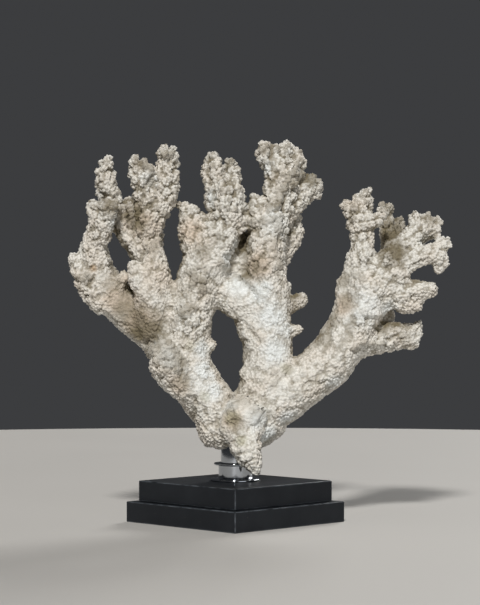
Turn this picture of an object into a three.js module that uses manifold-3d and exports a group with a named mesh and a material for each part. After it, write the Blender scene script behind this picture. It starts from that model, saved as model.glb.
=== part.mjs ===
// A branching coral on a chrome collar and a stand of two square black slabs.
// Millimetres, +Z up. The origin is the middle of the stand's underside.
// The coral spreads along X, and the stand is turned so that a corner points along -Y.
import * as THREE from "three";
import { ImprovedNoise } from "three/addons/math/ImprovedNoise.js";
import { mergeVertices } from "three/addons/utils/BufferGeometryUtils.js";
import Module from "manifold-3d";

const wasm = await Module();
wasm.setup();

// Stand
const LOWER_SIDE = 154;
const UPPER_SIDE = 136.5;
const SLAB_THICK = 20.5;
const EDGE_WORN = 0.7;
const STAND_TURN = Math.PI / 4;

// Chrome collar
const FLANGE_RADIUS = 25;
const FLANGE_THICK = 2.2;
const SLEEVE_RADIUS = 16.8;
const RING_RADIUS = 21.5;
const RING_THICK = 1.8;
const SLEEVE_TALL = 17.6;
const NECK_RADIUS = 14.5;
const NECK_TALL = 21;
const TURNED_ROUNDING = 0.6;
const TURNED_SEGMENTS = 24;

// Gap between pieces that touch, and the reach within which two points are one
const GAP = 0.3;
const SAME_POINT = 1e-4;

// Edges shorter than these are drawn together, in turn in a piece as joined and then once it is cut,
// where no face turns further than this (a cosine)
const JOINED_REACHES = [1, 2.2, 3.4];
const CUT_REACH = 0.1;
const LEAST_FACING = 0.4;
const CORNERS_ON_TWO_FACES = 4;

// How far a piece keeps off the skin of those before it
const SPLIT_SWELL = 0.8;

// Coral surface: facets about this long, and lumps this wide and high
const STEM_RADIUS = 12;
const STEM_STEP = 11.5;
const TIP_STEP = 8.5;
const RING_STRETCH = 1.2;
const FEWEST_SIDES = 6;
const MOST_SIDES = 14;
const CAP_RINGS = 2;
const STAGGER = 0.5;
const LUMP_WIDE = 11;
const LUMP_HIGH = 2.4;
const FINE_LUMP_WIDE = 4.7;
const FINE_LUMP_SHARE = 0.45;
const FULL_LUMPS_RADIUS = 8;

const BLACK_LACQUER = { color: 0x17181b, roughness: 0.42, metalness: 0.0 };
const CHROME = { color: 0xc9ccd0, roughness: 0.08, metalness: 1.0 };
const BLEACHED_CORAL = { color: 0xd8d2c6, roughness: 0.85, metalness: 0.0 };

const STAND_TOP = 2 * SLAB_THICK + GAP;
const COLLAR_FOOT = STAND_TOP + GAP;
const noise = new ImprovedNoise();

// Joining and cutting

function solidFrom(geometry) {
  const bare = geometry.index ? geometry.toNonIndexed() : geometry.clone();
  const positions = new THREE.BufferGeometry().setAttribute("position", bare.getAttribute("position"));
  const merged = mergeVertices(positions, SAME_POINT);
  const vertProperties = new Float32Array(merged.attributes.position.array);
  const triVerts = new Uint32Array(merged.index.array);
  return new wasm.Manifold(new wasm.Mesh({ numProp: 3, vertProperties, triVerts }));
}

function geometryFrom(solid) {
  const mesh = solid.getMesh();
  const geometry = new THREE.BufferGeometry();
  geometry.setAttribute("position", new THREE.BufferAttribute(new Float32Array(mesh.vertProperties), 3));
  geometry.setIndex(Array.from(mesh.triVerts));
  geometry.computeVertexNormals();
  return geometry;
}

function joined(solids) {
  return solids.reduce((whole, next) => whole.add(next));
}

function largestBody(solid) {
  const bodies = solid.decompose();
  return bodies.reduce((best, body) => (body.volume() > best.volume() ? body : best));
}

// The faces that touch each corner
function facesByCorner(faces) {
  const touching = new Map();
  for (const face of faces) {
    for (const corner of face) {
      if (!touching.has(corner)) touching.set(corner, new Set());
      touching.get(corner).add(face);
    }
  }
  return touching;
}

function normalOf(corners, points) {
  const triangle = new THREE.Triangle(...corners.map((corner) => points[corner]));
  return triangle.getNormal(new THREE.Vector3());
}

// Whether a corner can be drawn onto another without pinching the skin or turning a face over
function canDraw(touching, points, from, onto) {
  const nearFrom = new Set([...touching.get(from)].flat());
  const nearOnto = new Set([...touching.get(onto)].flat());
  const shared = [...nearFrom].filter((corner) => nearOnto.has(corner));
  if (shared.length !== CORNERS_ON_TWO_FACES) return false;
  const moved = [...touching.get(from)].filter((face) => !face.includes(onto));
  return moved.every((face) => {
    const after = face.map((corner) => (corner === from ? onto : corner));
    return normalOf(face, points).dot(normalOf(after, points)) > LEAST_FACING;
  });
}

// Draws a corner onto another: the faces between them go, and the others follow
function draw(faces, touching, from, onto) {
  for (const face of touching.get(from)) {
    if (face.includes(onto)) {
      faces.delete(face);
      for (const corner of face) touching.get(corner).delete(face);
    } else {
      face[face.indexOf(from)] = onto;
      touching.get(onto).add(face);
    }
  }
  touching.delete(from);
}

// A solid with each edge shorter than the reach drawn together into one corner
function settled(solid, reach) {
  const whole = geometryFrom(solid);
  const at = whole.getAttribute("position");
  const pointAt = (_, index) => new THREE.Vector3().fromBufferAttribute(at, index);
  const points = Array.from({ length: at.count }, pointAt);
  const faces = new Set();
  for (let first = 0; first < whole.index.count; first += 3) {
    faces.add(Array.from(whole.index.array.slice(first, first + 3)));
  }
  const touching = facesByCorner(faces);
  for (const face of [...faces]) {
    for (let side = 0; side < 3; side += 1) {
      const from = face[side];
      const onto = face[(side + 1) % 3];
      if (!faces.has(face) || points[from].distanceTo(points[onto]) > reach) continue;
      if (canDraw(touching, points, from, onto)) draw(faces, touching, from, onto);
    }
  }
  const corners = [...faces].flat().flatMap((corner) => points[corner].toArray());
  const drawn = new THREE.BufferGeometry();
  drawn.setAttribute("position", new THREE.Float32BufferAttribute(corners, 3));
  return solidFrom(drawn);
}

// The same solid with its skin moved out
function swollen(solid) {
  const geometry = geometryFrom(solid);
  const at = geometry.getAttribute("position");
  const out = geometry.getAttribute("normal");
  const point = new THREE.Vector3();
  const away = new THREE.Vector3();
  for (let index = 0; index < at.count; index += 1) {
    point.fromBufferAttribute(at, index);
    away.fromBufferAttribute(out, index);
    point.addScaledVector(away, SPLIT_SWELL);
    at.setXYZ(index, point.x, point.y, point.z);
  }
  return solidFrom(geometry);
}

// Stand and collar

// A square slab with narrow worn edges, its underside at z = 0
function slabGeometry(side, thick) {
  const half = side / 2 - EDGE_WORN;
  const outline = new THREE.Shape();
  outline.moveTo(-half, -half);
  outline.lineTo(half, -half);
  outline.lineTo(half, half);
  outline.lineTo(-half, half);
  outline.closePath();
  const slab = new THREE.ExtrudeGeometry(outline, {
    depth: thick - 2 * EDGE_WORN,
    bevelEnabled: true,
    bevelThickness: EDGE_WORN,
    bevelSize: EDGE_WORN,
    bevelSegments: 1,
  });
  return slab.translate(0, 0, EDGE_WORN);
}

// A turned solid from its half section, given as [radius, height] from the axis and back to it
function turnedGeometry(section) {
  const points = section.map(([radius, height]) => new THREE.Vector2(radius, height));
  const turned = new THREE.LatheGeometry(points, TURNED_SEGMENTS);
  return turned.rotateX(Math.PI / 2);
}

function sleeveGeometry() {
  const ringFoot = SLEEVE_TALL - RING_THICK;
  return turnedGeometry([
    [0, 0],
    [FLANGE_RADIUS, 0],
    [FLANGE_RADIUS, FLANGE_THICK - TURNED_ROUNDING],
    [FLANGE_RADIUS - TURNED_ROUNDING, FLANGE_THICK],
    [SLEEVE_RADIUS, FLANGE_THICK],
    [SLEEVE_RADIUS, ringFoot],
    [RING_RADIUS, ringFoot],
    [RING_RADIUS, SLEEVE_TALL - TURNED_ROUNDING],
    [RING_RADIUS - TURNED_ROUNDING, SLEEVE_TALL],
    [0, SLEEVE_TALL],
  ]);
}

function neckGeometry(grow = 0) {
  return turnedGeometry([
    [0, -grow],
    [NECK_RADIUS + grow, -grow],
    [NECK_RADIUS + grow, NECK_TALL + grow],
    [0, NECK_TALL + grow],
  ]);
}

// Coral

// Smooth noise at a point, with swells this wide
function swellAt(point, wide) {
  return noise.noise(point.x / wide, point.y / wide, point.z / wide);
}

// Height of the lumps at a point
function lumpAt(point) {
  return LUMP_HIGH * (swellAt(point, LUMP_WIDE) + FINE_LUMP_SHARE * swellAt(point, FINE_LUMP_WIDE));
}

// One limb: a closed skin round a smooth line through stations [x, y, z, radius], with round ends.
// A sphere's rings are laid along the line, wide enough for its flat facets to hold a round limb's area.
function limbSolid(stations) {
  const centres = stations.map(([x, y, z]) => new THREE.Vector3(x, y, z));
  const line = new THREE.CatmullRomCurve3(centres, false, "centripetal");
  const radii = stations.map((station) => station[3]);
  const length = line.getLength();
  const middleRadius = radii.reduce((sum, radius) => sum + radius, 0) / radii.length;
  const step = middleRadius > STEM_RADIUS ? STEM_STEP : TIP_STEP;
  const sides = Math.min(MOST_SIDES, Math.max(FEWEST_SIDES, Math.round((2 * Math.PI * middleRadius) / step)));
  const halfFacet = Math.PI / sides;
  const fullness = Math.sqrt(halfFacet / (Math.sin(halfFacet) * Math.cos(halfFacet)));
  const bodyRings = Math.max(1, Math.round(length / (RING_STRETCH * step)));
  const rings = bodyRings + 2 * CAP_RINGS;
  const frames = line.computeFrenetFrames(bodyRings, false);
  const skin = new THREE.SphereGeometry(1, sides, rings);
  const at = skin.getAttribute("position");
  const around = skin.getAttribute("uv");

  // Fraction of the stations' run at an arc length share, for the radius
  const radiusAt = (share) => {
    const place = line.getUtoTmapping(share) * (radii.length - 1);
    const low = Math.min(Math.floor(place), radii.length - 2);
    const mix = THREE.MathUtils.smoothstep(place - low, 0, 1);
    return THREE.MathUtils.lerp(radii[low], radii[low + 1], mix);
  };

  for (let index = 0; index < at.count; index += 1) {
    const ring = Math.round((1 - around.getY(index)) * rings);
    const bodyRing = THREE.MathUtils.clamp(ring - CAP_RINGS, 0, bodyRings);
    const beyond = ring - CAP_RINGS - bodyRing;
    const capAngle = (Math.abs(beyond) / CAP_RINGS) * (Math.PI / 2);
    const share = bodyRing / bodyRings;
    const radius = radiusAt(share) * fullness;
    const centre = line.getPointAt(share);
    const out = Math.sign(beyond) * Math.sin(capAngle);
    const turn = Math.round(around.getX(index) * sides) % sides;
    const angle = (-(turn - STAGGER * bodyRing) / sides) * 2 * Math.PI;
    const ray = new THREE.Vector3()
      .addScaledVector(frames.normals[bodyRing], Math.cos(angle) * Math.cos(capAngle))
      .addScaledVector(frames.binormals[bodyRing], Math.sin(angle) * Math.cos(capAngle))
      .addScaledVector(frames.tangents[bodyRing], out);
    const plain = centre.clone().addScaledVector(ray, radius);
    const reach = radius + lumpAt(plain) * Math.min(1, radius / FULL_LUMPS_RADIUS);
    centre.addScaledVector(ray, reach);
    at.setXYZ(index, centre.x, centre.y, centre.z);
  }
  return solidFrom(skin);
}

// Each piece of the coral is a list of limbs, and each limb a list of stations [x, y, z, radius].

const ROOT = [
  // the foot, where all the stems meet
  [[-15, 0, 95, 25], [6, 0, 97, 27.5], [26, 2, 102, 26.5]],
  // the boss in front
  [[7, -10, 103, 20], [7, -18, 105, 20]],
  // the lobe that hangs in front of the collar
  [[8, -22, 90, 17], [11.5, -30, 72, 15], [17, -34, 61, 11], [21, -36, 53, 5.5]],
  // the back of the foot
  [[6, 14, 96, 21], [12, 36, 110, 14], [16, 50, 126, 9]],
];

const LEFT_STEM = [
  [[-6, 0, 96, 24], [-26, 0, 119, 24.5], [-44, -2, 148, 25], [-50, -4, 172, 22]],
  // the knobbly shoulder
  [[-41, -10, 129, 15], [-60, -12, 148, 18.5], [-69, -14, 162, 18.5], [-70, -17, 174, 14]],
  [[-34, -4, 172, 10], [-25, -6, 177, 6.5]],
  // the column
  [[-49, -4, 170, 22], [-48, -4, 194, 24], [-41, -3, 222, 23], [-31, -2, 252, 24], [-21, -2, 274, 23],
    [-12, 0, 296, 19]],
  [[-18, -14, 268, 12], [-6, -19, 288, 9]],
  [[-6, -6, 288, 12], [2, -5, 300, 10]],
  // branches behind
  [[-34, 14, 128, 18], [-44, 40, 152, 14], [-48, 56, 172, 9]],
  [[-38, 12, 232, 18], [-32, 36, 260, 12], [-26, 48, 282, 8]],
];

const LEFT_TIPS = [
  [[-14, 4, 306, 13], [-18, 7, 328, 10.5], [-21, 9, 346, 10.5], [-22, 9, 363, 8]],
  [[-27, 8, 342, 6], [-31, 7, 354, 5]],
  [[-8, -6, 304, 17], [-5, -10, 326, 14], [-4, -12, 340, 11], [-1, -12, 349, 6.5]],
  [[-1, -10, 326, 8], [3, -9, 337, 5.5]],
  [[-9, 18, 322, 9], [-6, 26, 344, 7.5], [-5, 29, 360, 6.5]],
  [[-6, 26, 342, 5], [1, 27, 352, 4.5]],
  [[-18, 10, 308, 8], [-27, 18, 321, 5]],
];

const BLUNT_FINGER = [
  [[-38, 2, 262, 13], [-43, 2, 280, 13], [-43, 3, 298, 14], [-46, 4, 309, 11], [-52, 4, 317, 5.5]],
];

const LEFT_ARM = [
  [[-48, 2, 162, 18], [-70, 6, 177, 20], [-95, 9, 198, 18.5], [-117, 8, 219, 19.5], [-134, 5, 242, 17],
    [-140, 2, 260, 15], [-142, 0, 277, 13], [-137, -2, 292, 11], [-132, -3, 303, 9]],
  [[-135, 0, 218, 12], [-148, 0, 237, 10.5], [-156, -2, 252, 9], [-161, -2, 263, 7]],
  [[-136, -5, 258, 7], [-130, -7, 267, 4.5]],
  // the end cluster
  [[-136, -7, 284, 11], [-131, -11, 297, 10], [-126, -14, 310, 9], [-124, -15, 316, 7]],
  [[-136, -4, 292, 10], [-140, -6, 310, 6.5], [-145, -6, 320, 4.5]],
  [[-139, -7, 300, 6], [-136, -9, 317, 5]],
  [[-120, 0, 232, 9], [-111, -7, 245, 6.5]],
  // a branch behind
  [[-118, 16, 218, 13], [-127, 34, 238, 10], [-130, 46, 254, 6.5]],
];

const LEFT_FORK = [
  [[-78, -2, 188, 17], [-82, -4, 207, 20], [-81, -8, 232, 20], [-80, -10, 254, 14], [-79, -10, 270, 8.5]],
  [[-87, -14, 228, 13], [-97, -17, 246, 11], [-101, -18, 254, 7.5]],
  [[-85, 6, 210, 17], [-85, 8, 244, 16], [-86, 8, 264, 14], [-87, 6, 282, 13], [-84, 4, 299, 12],
    [-76, 3, 316, 13], [-70, 2, 332, 13.5], [-68, 1, 348, 12], [-67, 1, 362, 9.5]],
  [[-68, 0, 354, 8], [-71, -3, 369, 6.5]],
  [[-66, 2, 354, 8], [-64, 3, 370, 6.5]],
  [[-87, -1, 292, 11], [-92, -4, 317, 8.5], [-93, -5, 333, 7.5], [-99, -4, 346, 8], [-99, -3, 356, 6.5]],
  [[-100, -3, 352, 6], [-102, -3, 364, 4.5]],
  [[-98, -4, 346, 6], [-93, -5, 358, 5]],
  [[-93, -4, 322, 7], [-88, -7, 338, 7], [-86, -8, 353, 5.8]],
  [[-92, 12, 286, 12], [-101, 17, 304, 10], [-106, 18, 319, 7.5]],
  // the tall finger on the left
  [[-87, 8, 256, 12], [-104, 9, 281, 10], [-116, 9, 301, 11], [-124, 9, 320, 11], [-130, 8, 338, 10],
    [-130, 7, 350, 9], [-127, 6, 361, 6]],
  [[-130, 6, 342, 8], [-134, 4, 349, 6.5]],
  [[-130, 6, 350, 6], [-135, 5, 359, 5]],
  // a branch behind
  [[-84, 18, 258, 11], [-82, 34, 278, 9], [-80, 42, 294, 6.5]],
];

const CENTRE_STEM = [
  [[16, 2, 108, 25], [25, 2, 122, 26], [31, 0, 145, 25], [33, 0, 172, 24.5], [32, 0, 197, 24],
    [31, 0, 222, 24]],
  [[16, -6, 140, 9], [9, -8, 149, 6.5]],
  [[21, 0, 188, 18.5], [17, 0, 206, 18.5]],
  [[44, 10, 214, 12], [51, 15, 236, 6]],
  [[45, 6, 210, 9], [58, 8, 219, 8], [67, 8, 223, 7.5]],
  [[44, 0, 188, 10], [53, 0, 191, 7], [63, 0, 193, 5.5]],
  // a branch behind
  [[33, 16, 172, 19], [36, 40, 200, 14], [38, 54, 222, 9]],
];

const BRIDGE = [
  [[-34, 4, 242, 15], [-20, 4, 237, 18], [-3, 2, 227, 20], [20, 0, 214, 21]],
  // the sunken crotch above it
  [[-16, 12, 258, 19], [4, 12, 257, 18], [20, 10, 254, 18]],
  [[4, 14, 262, 14], [8, 16, 282, 9]],
];

const CENTRE_CROWN = [
  [[31, 0, 216, 22.5], [30, 0, 247, 21], [30, 0, 272, 20.5], [33, 0, 294, 19], [37, 1, 308, 17]],
  [[28, -3, 284, 15], [22, -3, 308, 11], [18, 0, 322, 6.5]],
  [[38, 2, 310, 12], [38, 1, 332, 9], [36, 0, 350, 8], [30, 0, 364, 8], [28, 0, 372, 8]],
  [[38, 3, 356, 8], [36, 2, 373, 7]],
  [[40, 4, 308, 15], [46, 6, 338, 15], [51, 8, 360, 14.5], [53, 8, 367, 10]],
  [[46, 4, 358, 9], [42, 3, 373, 6.5]],
  [[52, 8, 362, 9], [52, 8, 376, 6.5]],
  [[56, 9, 360, 9], [61, 10, 368, 7]],
  [[58, 8, 352, 9], [66, 8, 360, 6]],
  [[50, 8, 334, 12], [61, 10, 342, 8]],
  [[40, 8, 301, 13], [57, 13, 320, 13], [68, 16, 331, 13], [76, 16, 336, 10.5]],
  [[74, 14, 334, 8], [76, 13, 345, 6]],
  [[77, 14, 338, 8], [82, 12, 338, 6]],
  [[76, 17, 332, 8], [83, 17, 327, 5]],
  // the side branch behind, on the right
  [[36, 14, 246, 14], [44, 20, 266, 11.5], [54, 23, 282, 12], [58, 24, 294, 12.5], [59, 24, 302, 8]],
  // a branch behind
  [[33, 12, 278, 14], [30, 32, 302, 10], [28, 40, 320, 7]],
];

const RIGHT_ARM = [
  [[26, 0, 110, 25], [53, 0, 128, 25], [77, 0, 147, 24], [94, 0, 160, 26], [105.5, 0, 177.5, 24.5],
    [120, 0, 204, 24], [130, 0, 226, 24.5], [133, 0, 241, 24]],
  [[112, -3, 226, 12], [108, -4, 238, 8]],
  // the low side branch
  [[124, 3, 180, 16], [145, 8, 185, 13], [163, 10, 188, 12.5], [177, 12, 188, 10.5]],
  [[178, 11, 190, 8], [186, 10, 198, 4.5]],
  [[176, 12, 188, 8], [185, 12, 190, 5]],
  [[136, 6, 175, 9], [150, 8, 178, 8], [164, 11, 178, 7.5], [178, 12, 179, 7.5]],
  // lumps on the lower edge
  [[104, -4, 162, 12], [115, -6, 157, 6.5]],
  [[80, 0, 138, 12], [89, 0, 132, 6]],
  [[130, 14, 196, 14], [144, 18, 202, 11], [153, 20, 206, 9.5]],
  // a branch behind
  [[113, 12, 188, 18], [121, 36, 210, 13], [125, 50, 230, 9]],
];

const RIGHT_INNER_CROWN = [
  [[125, 0, 236, 19], [124, -1, 256, 16], [127, -3, 273, 12], [127, -3, 290, 12], [121, -2, 306, 13.5],
    [121, -1, 313, 11]],
  [[122, 0, 312, 9.5], [127, 0, 323, 8.5], [131, 2, 328, 6]],
  [[118, -2, 306, 9], [112, -2, 315, 6.5]],
  [[120, 0, 312, 8], [121, 1, 322, 5.5]],
  [[126, -1, 308, 9], [131, -1, 319, 7]],
  [[127, -6, 296, 10], [138, -9, 301, 8], [146, -10, 304, 5]],
  [[128, -8, 250, 11], [128, -19, 263, 5]],
];

const RIGHT_OUTER_CROWN = [
  [[142, 8, 244, 14], [156, 17, 262, 11], [156, 22, 280, 10], [153, 24, 298, 8]],
  [[151, 24, 296, 6.5], [148, 24, 317, 4.2]],
  [[153, 25, 296, 7], [155, 30, 318, 5]],
  [[157, 25, 272, 10], [162, 33, 286, 9], [166, 37, 301, 6]],
  [[148, 0, 250, 10], [153, -15, 265, 5]],
  [[132, 2, 234, 18], [147, 2, 252, 15], [163, 2, 270, 13], [179, 4, 285, 12.5], [187, 4, 293, 11]],
  [[181, 3, 290, 8], [180, 2, 307, 5.5]],
  [[187, 5, 292, 8], [192, 6, 305, 5.5]],
  [[190, 4, 292, 8], [201, 4, 300, 6]],
  [[186, 3, 286, 8], [202, 2, 290, 5.5]],
  [[172, 2, 274, 9], [184, 1, 281, 6]],
  [[166, 10, 276, 9], [175, 22, 292, 5]],
  [[136, -3, 234, 17], [156, -5, 246, 13.5], [172, -7, 260, 11], [192, -8, 268, 10.5], [201, -8, 270, 10]],
  [[200, -7, 271, 8], [210, -6, 281, 5]],
  [[203, -8, 271, 7], [212, -8, 275, 4.8]],
  [[200, -8, 267, 8], [209, -8, 259, 6]],
  [[198, -8, 265, 8], [203, -8, 252, 5.5]],
  [[132, 0, 220, 18], [150, 0, 228, 16], [172, -3, 231, 12], [186, -5, 231, 11], [194, -5, 232, 9]],
  [[158, 0, 223, 10], [172, -3, 217, 9.5], [181, -4, 216, 7.5]],
  // a branch behind
  [[146, 12, 246, 13], [168, 28, 252, 10], [176, 42, 262, 7]],
];

// Pieces in growing order: each is cut by all that come before it
const CORAL = [
  ["coral_root", ROOT],
  ["coral_left_stem", LEFT_STEM],
  ["coral_right_arm", RIGHT_ARM],
  ["coral_centre_stem", CENTRE_STEM],
  ["coral_bridge", BRIDGE],
  ["coral_left_arm", LEFT_ARM],
  ["coral_left_fork", LEFT_FORK],
  ["coral_blunt_finger", BLUNT_FINGER],
  ["coral_left_tips", LEFT_TIPS],
  ["coral_centre_crown", CENTRE_CROWN],
  ["coral_right_inner_crown", RIGHT_INNER_CROWN],
  ["coral_right_outer_crown", RIGHT_OUTER_CROWN],
];

function grownFrom(limbs) {
  return JOINED_REACHES.reduce(settled, joined(limbs.map(limbSolid)));
}

function coralSolids() {
  let taken = solidFrom(neckGeometry(GAP).translate(0, 0, COLLAR_FOOT + SLEEVE_TALL + GAP));
  return CORAL.map(([name, limbs]) => {
    const whole = grownFrom(limbs);
    const solid = settled(largestBody(whole.subtract(taken)), CUT_REACH);
    taken = taken.add(whole).add(swollen(whole));
    return { name, solid };
  });
}

// The whole object

function mesh(name, geometry, finish) {
  const made = new THREE.Mesh(geometry, new THREE.MeshStandardMaterial(finish));
  made.name = name;
  return made;
}

function standGroup() {
  const stand = new THREE.Group();
  const lower = mesh("lower_plinth", slabGeometry(LOWER_SIDE, SLAB_THICK), BLACK_LACQUER);
  const upper = mesh("upper_plinth", slabGeometry(UPPER_SIDE, SLAB_THICK), BLACK_LACQUER);
  upper.position.z = SLAB_THICK + GAP;
  stand.add(lower, upper);
  stand.rotation.z = STAND_TURN;
  return stand;
}

function collarGroup() {
  const collar = new THREE.Group();
  const sleeve = mesh("collar_sleeve", sleeveGeometry(), CHROME);
  const neck = mesh("collar_neck", neckGeometry(), CHROME);
  neck.position.z = SLEEVE_TALL + GAP;
  collar.add(sleeve, neck);
  collar.position.z = COLLAR_FOOT;
  return collar;
}

function coralGroup() {
  const coral = new THREE.Group();
  for (const { name, solid } of coralSolids()) {
    coral.add(mesh(name, geometryFrom(solid), BLEACHED_CORAL));
  }
  return coral;
}

const object = new THREE.Group();
object.add(standGroup(), collarGroup(), coralGroup());

export default object;
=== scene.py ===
"""A bleached branching coral on its chrome collar and black two-tier stand.

The coral is one knobbly skin grown over the solids of the frame, cut into one closed piece for each
solid. The slabs and the collar are finely rounded pieces in the place of their solids.
"""

import math

import bmesh
import bpy
import numpy as np
from bpy.props import FloatProperty, FloatVectorProperty, IntProperty, PointerProperty
from mathutils import Matrix, Vector
from mathutils.bvhtree import BVHTree


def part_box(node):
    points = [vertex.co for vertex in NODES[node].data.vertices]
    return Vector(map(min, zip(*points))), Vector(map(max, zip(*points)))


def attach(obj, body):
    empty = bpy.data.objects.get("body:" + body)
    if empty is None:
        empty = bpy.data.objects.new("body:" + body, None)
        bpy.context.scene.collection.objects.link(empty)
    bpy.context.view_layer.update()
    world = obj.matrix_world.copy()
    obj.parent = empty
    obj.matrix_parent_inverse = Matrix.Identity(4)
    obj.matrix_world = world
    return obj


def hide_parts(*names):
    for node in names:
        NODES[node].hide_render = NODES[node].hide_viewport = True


bl_info = {
    "name": "Branching Coral on Stand",
    "version": (1, 0, 0),
    "blender": (4, 5, 0),
    "location": "3D View > Sidebar > Coral",
    "description": "Builds a bleached branching coral on a chrome collar and a black stand",
    "category": "Object",
}

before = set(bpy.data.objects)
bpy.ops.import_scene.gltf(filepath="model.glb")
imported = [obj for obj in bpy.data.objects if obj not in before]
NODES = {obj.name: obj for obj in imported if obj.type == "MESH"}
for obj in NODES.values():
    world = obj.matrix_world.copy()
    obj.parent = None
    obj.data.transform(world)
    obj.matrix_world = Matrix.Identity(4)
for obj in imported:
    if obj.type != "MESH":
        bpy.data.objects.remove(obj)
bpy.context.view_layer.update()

MM = 0.001
BODY = "root"
CORAL_NODES = sorted(name for name in NODES if name.startswith("coral_"))
SLAB_NODES = ("lower_plinth", "upper_plinth")
STAND_TURN = math.radians(45)

# The photograph's camera: its reach, its horizon and the picture's height are in pixels
IMAGE_TALL = 605
CAMERA_PLACE = (4.6 * MM, -2200 * MM, 231.9 * MM)
FOCAL_PIXELS = 2200
HORIZON_PIXEL = 290
SENSOR_LONG = 36
NEAREST_SEEN = 0.05
FARTHEST_SEEN = 50

# The round floor, whose far edge lies low behind the stand
FLOOR_RADIUS = 1.5
FLOOR_STEPS = 128

# Lights: name, kind, place, size (a sun's in degrees, an area's in metres) and colour
LIGHTS = (
    ("key", "SUN", (-0.12, -1.15, 1.2), 7, (1, 0.99, 0.975)),
    ("back", "SUN", (0.5, 1.0, 0.8), 20, (1, 0.99, 0.97)),
    ("fill", "AREA", (0.9, -1.4, 0.3), 1.0, (0.96, 0.98, 1)),
)
LIGHTS_AIM = (0.02, 0, 0.2)
SURROUND_STRENGTH = 0.14

# The collar's driving sizes, whose flange and neck are as wide as their solids
SLEEVE_RADIUS = 16.8 * MM
RING_RADIUS = 21.5 * MM
RING_THICK = 1.8 * MM
RIM_STEPS = 4
SHARP_RIM = math.radians(35)

# The slabs: how far their solids' corners are cut off, and the band along a rim that shows wear and a
# painted highlight
SLAB_CHAMFER = 0.7 * MM
WEAR_AND_GLINT_BAND = 1.3 * MM
WEAR_AND_GLINT_RIM = 0.2 * MM
BEVEL_STEPS = 5

# Steps of the coral's skin
WELD = 1e-6
SPLIT_CLOSING = 0.45 * MM
SMOOTHING_ROUNDS = 7
SETTLING_ROUNDS = 40
CAP_DEPTH = 1.5 * MM

# Rays that find what is hollow and what faces open: how far off the skin they start and how they spread
RAY_START = 1.5 * MM
RAY_SPREAD = 0.96
HOLLOW_SEED = 3
HOLLOW_RAYS = 18
HOLLOW_REACH = 70 * MM
HOLLOW_SMOOTHING = 4
FACING_GAIN = 2
FACING_SMOOTHING = 2

# How knobbly the coral is where no place below says more or less
KNOBBLY_STEM = 0.5
KNOBBLY_CROWN = 1.05
CROWN_FOOT = 0.24
CROWN_TOP = 0.32
ROUGH_GAIN = 1.6
SMOOTH_GAIN = 1.4

# Knobs and lumps: what is added to the seed, how far their outlines waver and how wide their domes
# reach, both as shares of their spacing
KNOB_DOMES = (0, 0.35, 0.78)
LUMP_DOMES = (11, 0.3, 0.8)
DOME_STEEPNESS = 0.6
DOME_SIZES = (0.72, 1.2)
DOMES_PER_SQUARE = 2.2
WAVER_SCALE = 380.0
BROAD_SCALE = 42.0
BROAD_LEAST = 0.6
BROAD_RANGE = 0.8
LUMPS_POWER = 1.6

# The knob tree's lengths, each named as its setting is
KNOB_SIZES = ("Knob Spacing", "Knob Height", "Lump Spacing", "Lump Height", "Sink")

# What is left of each on bare coral, as a share of what it is where the knobs stand full
KNOBS_LEFT = 0.38
SINK_LEFT = 0.32
RISE_LEFT = 0.4

# Places on the coral: x, y, z and reach in mm, and how far the place goes towards its finish
ROUGH_PLACES = (
    (-66, -18, 160, 26, 1.0),
    (-52, -22, 128, 18, 0.8),
    (-44, -20, 205, 26, 1.0),
    (-36, -20, 240, 24, 1.0),
    (-150, -6, 236, 22, 1.0),
    (-78, -14, 250, 20, 0.9),
    (-34, -24, 100, 16, 0.7),
    (24, -22, 262, 22, 0.9),
    (122, -20, 200, 18, 0.8),
    (142, -16, 244, 24, 0.9),
    (88, -20, 142, 14, 0.7),
    (14, -34, 66, 16, 1.0),
    (150, 6, 184, 30, 0.9),
    (172, -4, 228, 26, 0.9),
    (20, 40, 120, 40, 0.8),
    (-44, 40, 160, 40, 0.8),
    (36, 44, 206, 34, 0.8),
    (118, 36, 214, 34, 0.8),
    (-128, 34, 240, 34, 0.9),
)
SMOOTH_PLACES = (
    (-134, -10, 264, 13, 0.6),
    (-128, -12, 240, 20, 0.8),
    (-114, -12, 215, 27, 0.92),
    (-94, -10, 192, 25, 0.9),
    (-72, -10, 290, 12, 0.6),
    (-64, -14, 234, 15, 0.7),
    (-14, -20, 246, 15, 0.7),
    (2, -18, 228, 22, 0.9),
    (26, -22, 206, 22, 0.85),
    (22, -26, 176, 17, 0.7),
    (44, -22, 172, 20, 0.8),
    (44, -22, 140, 18, 0.7),
    (104, -16, 236, 17, 0.85),
    (108, -20, 210, 18, 0.7),
    (-26, -26, 122, 15, 0.75),
    (-20, -24, 142, 13, 0.7),
    (8, -38, 106, 20, 0.85),
    (-20, -30, 90, 16, 0.7),
    (72, -22, 150, 16, 0.4),
    (24, -14, 326, 12, 0.5),
    (40, -14, 330, 12, 0.45),
    (20, 44, 160, 22, 0.6),
    (-90, 34, 196, 26, 0.7),
    (96, 34, 188, 24, 0.6),
)

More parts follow.
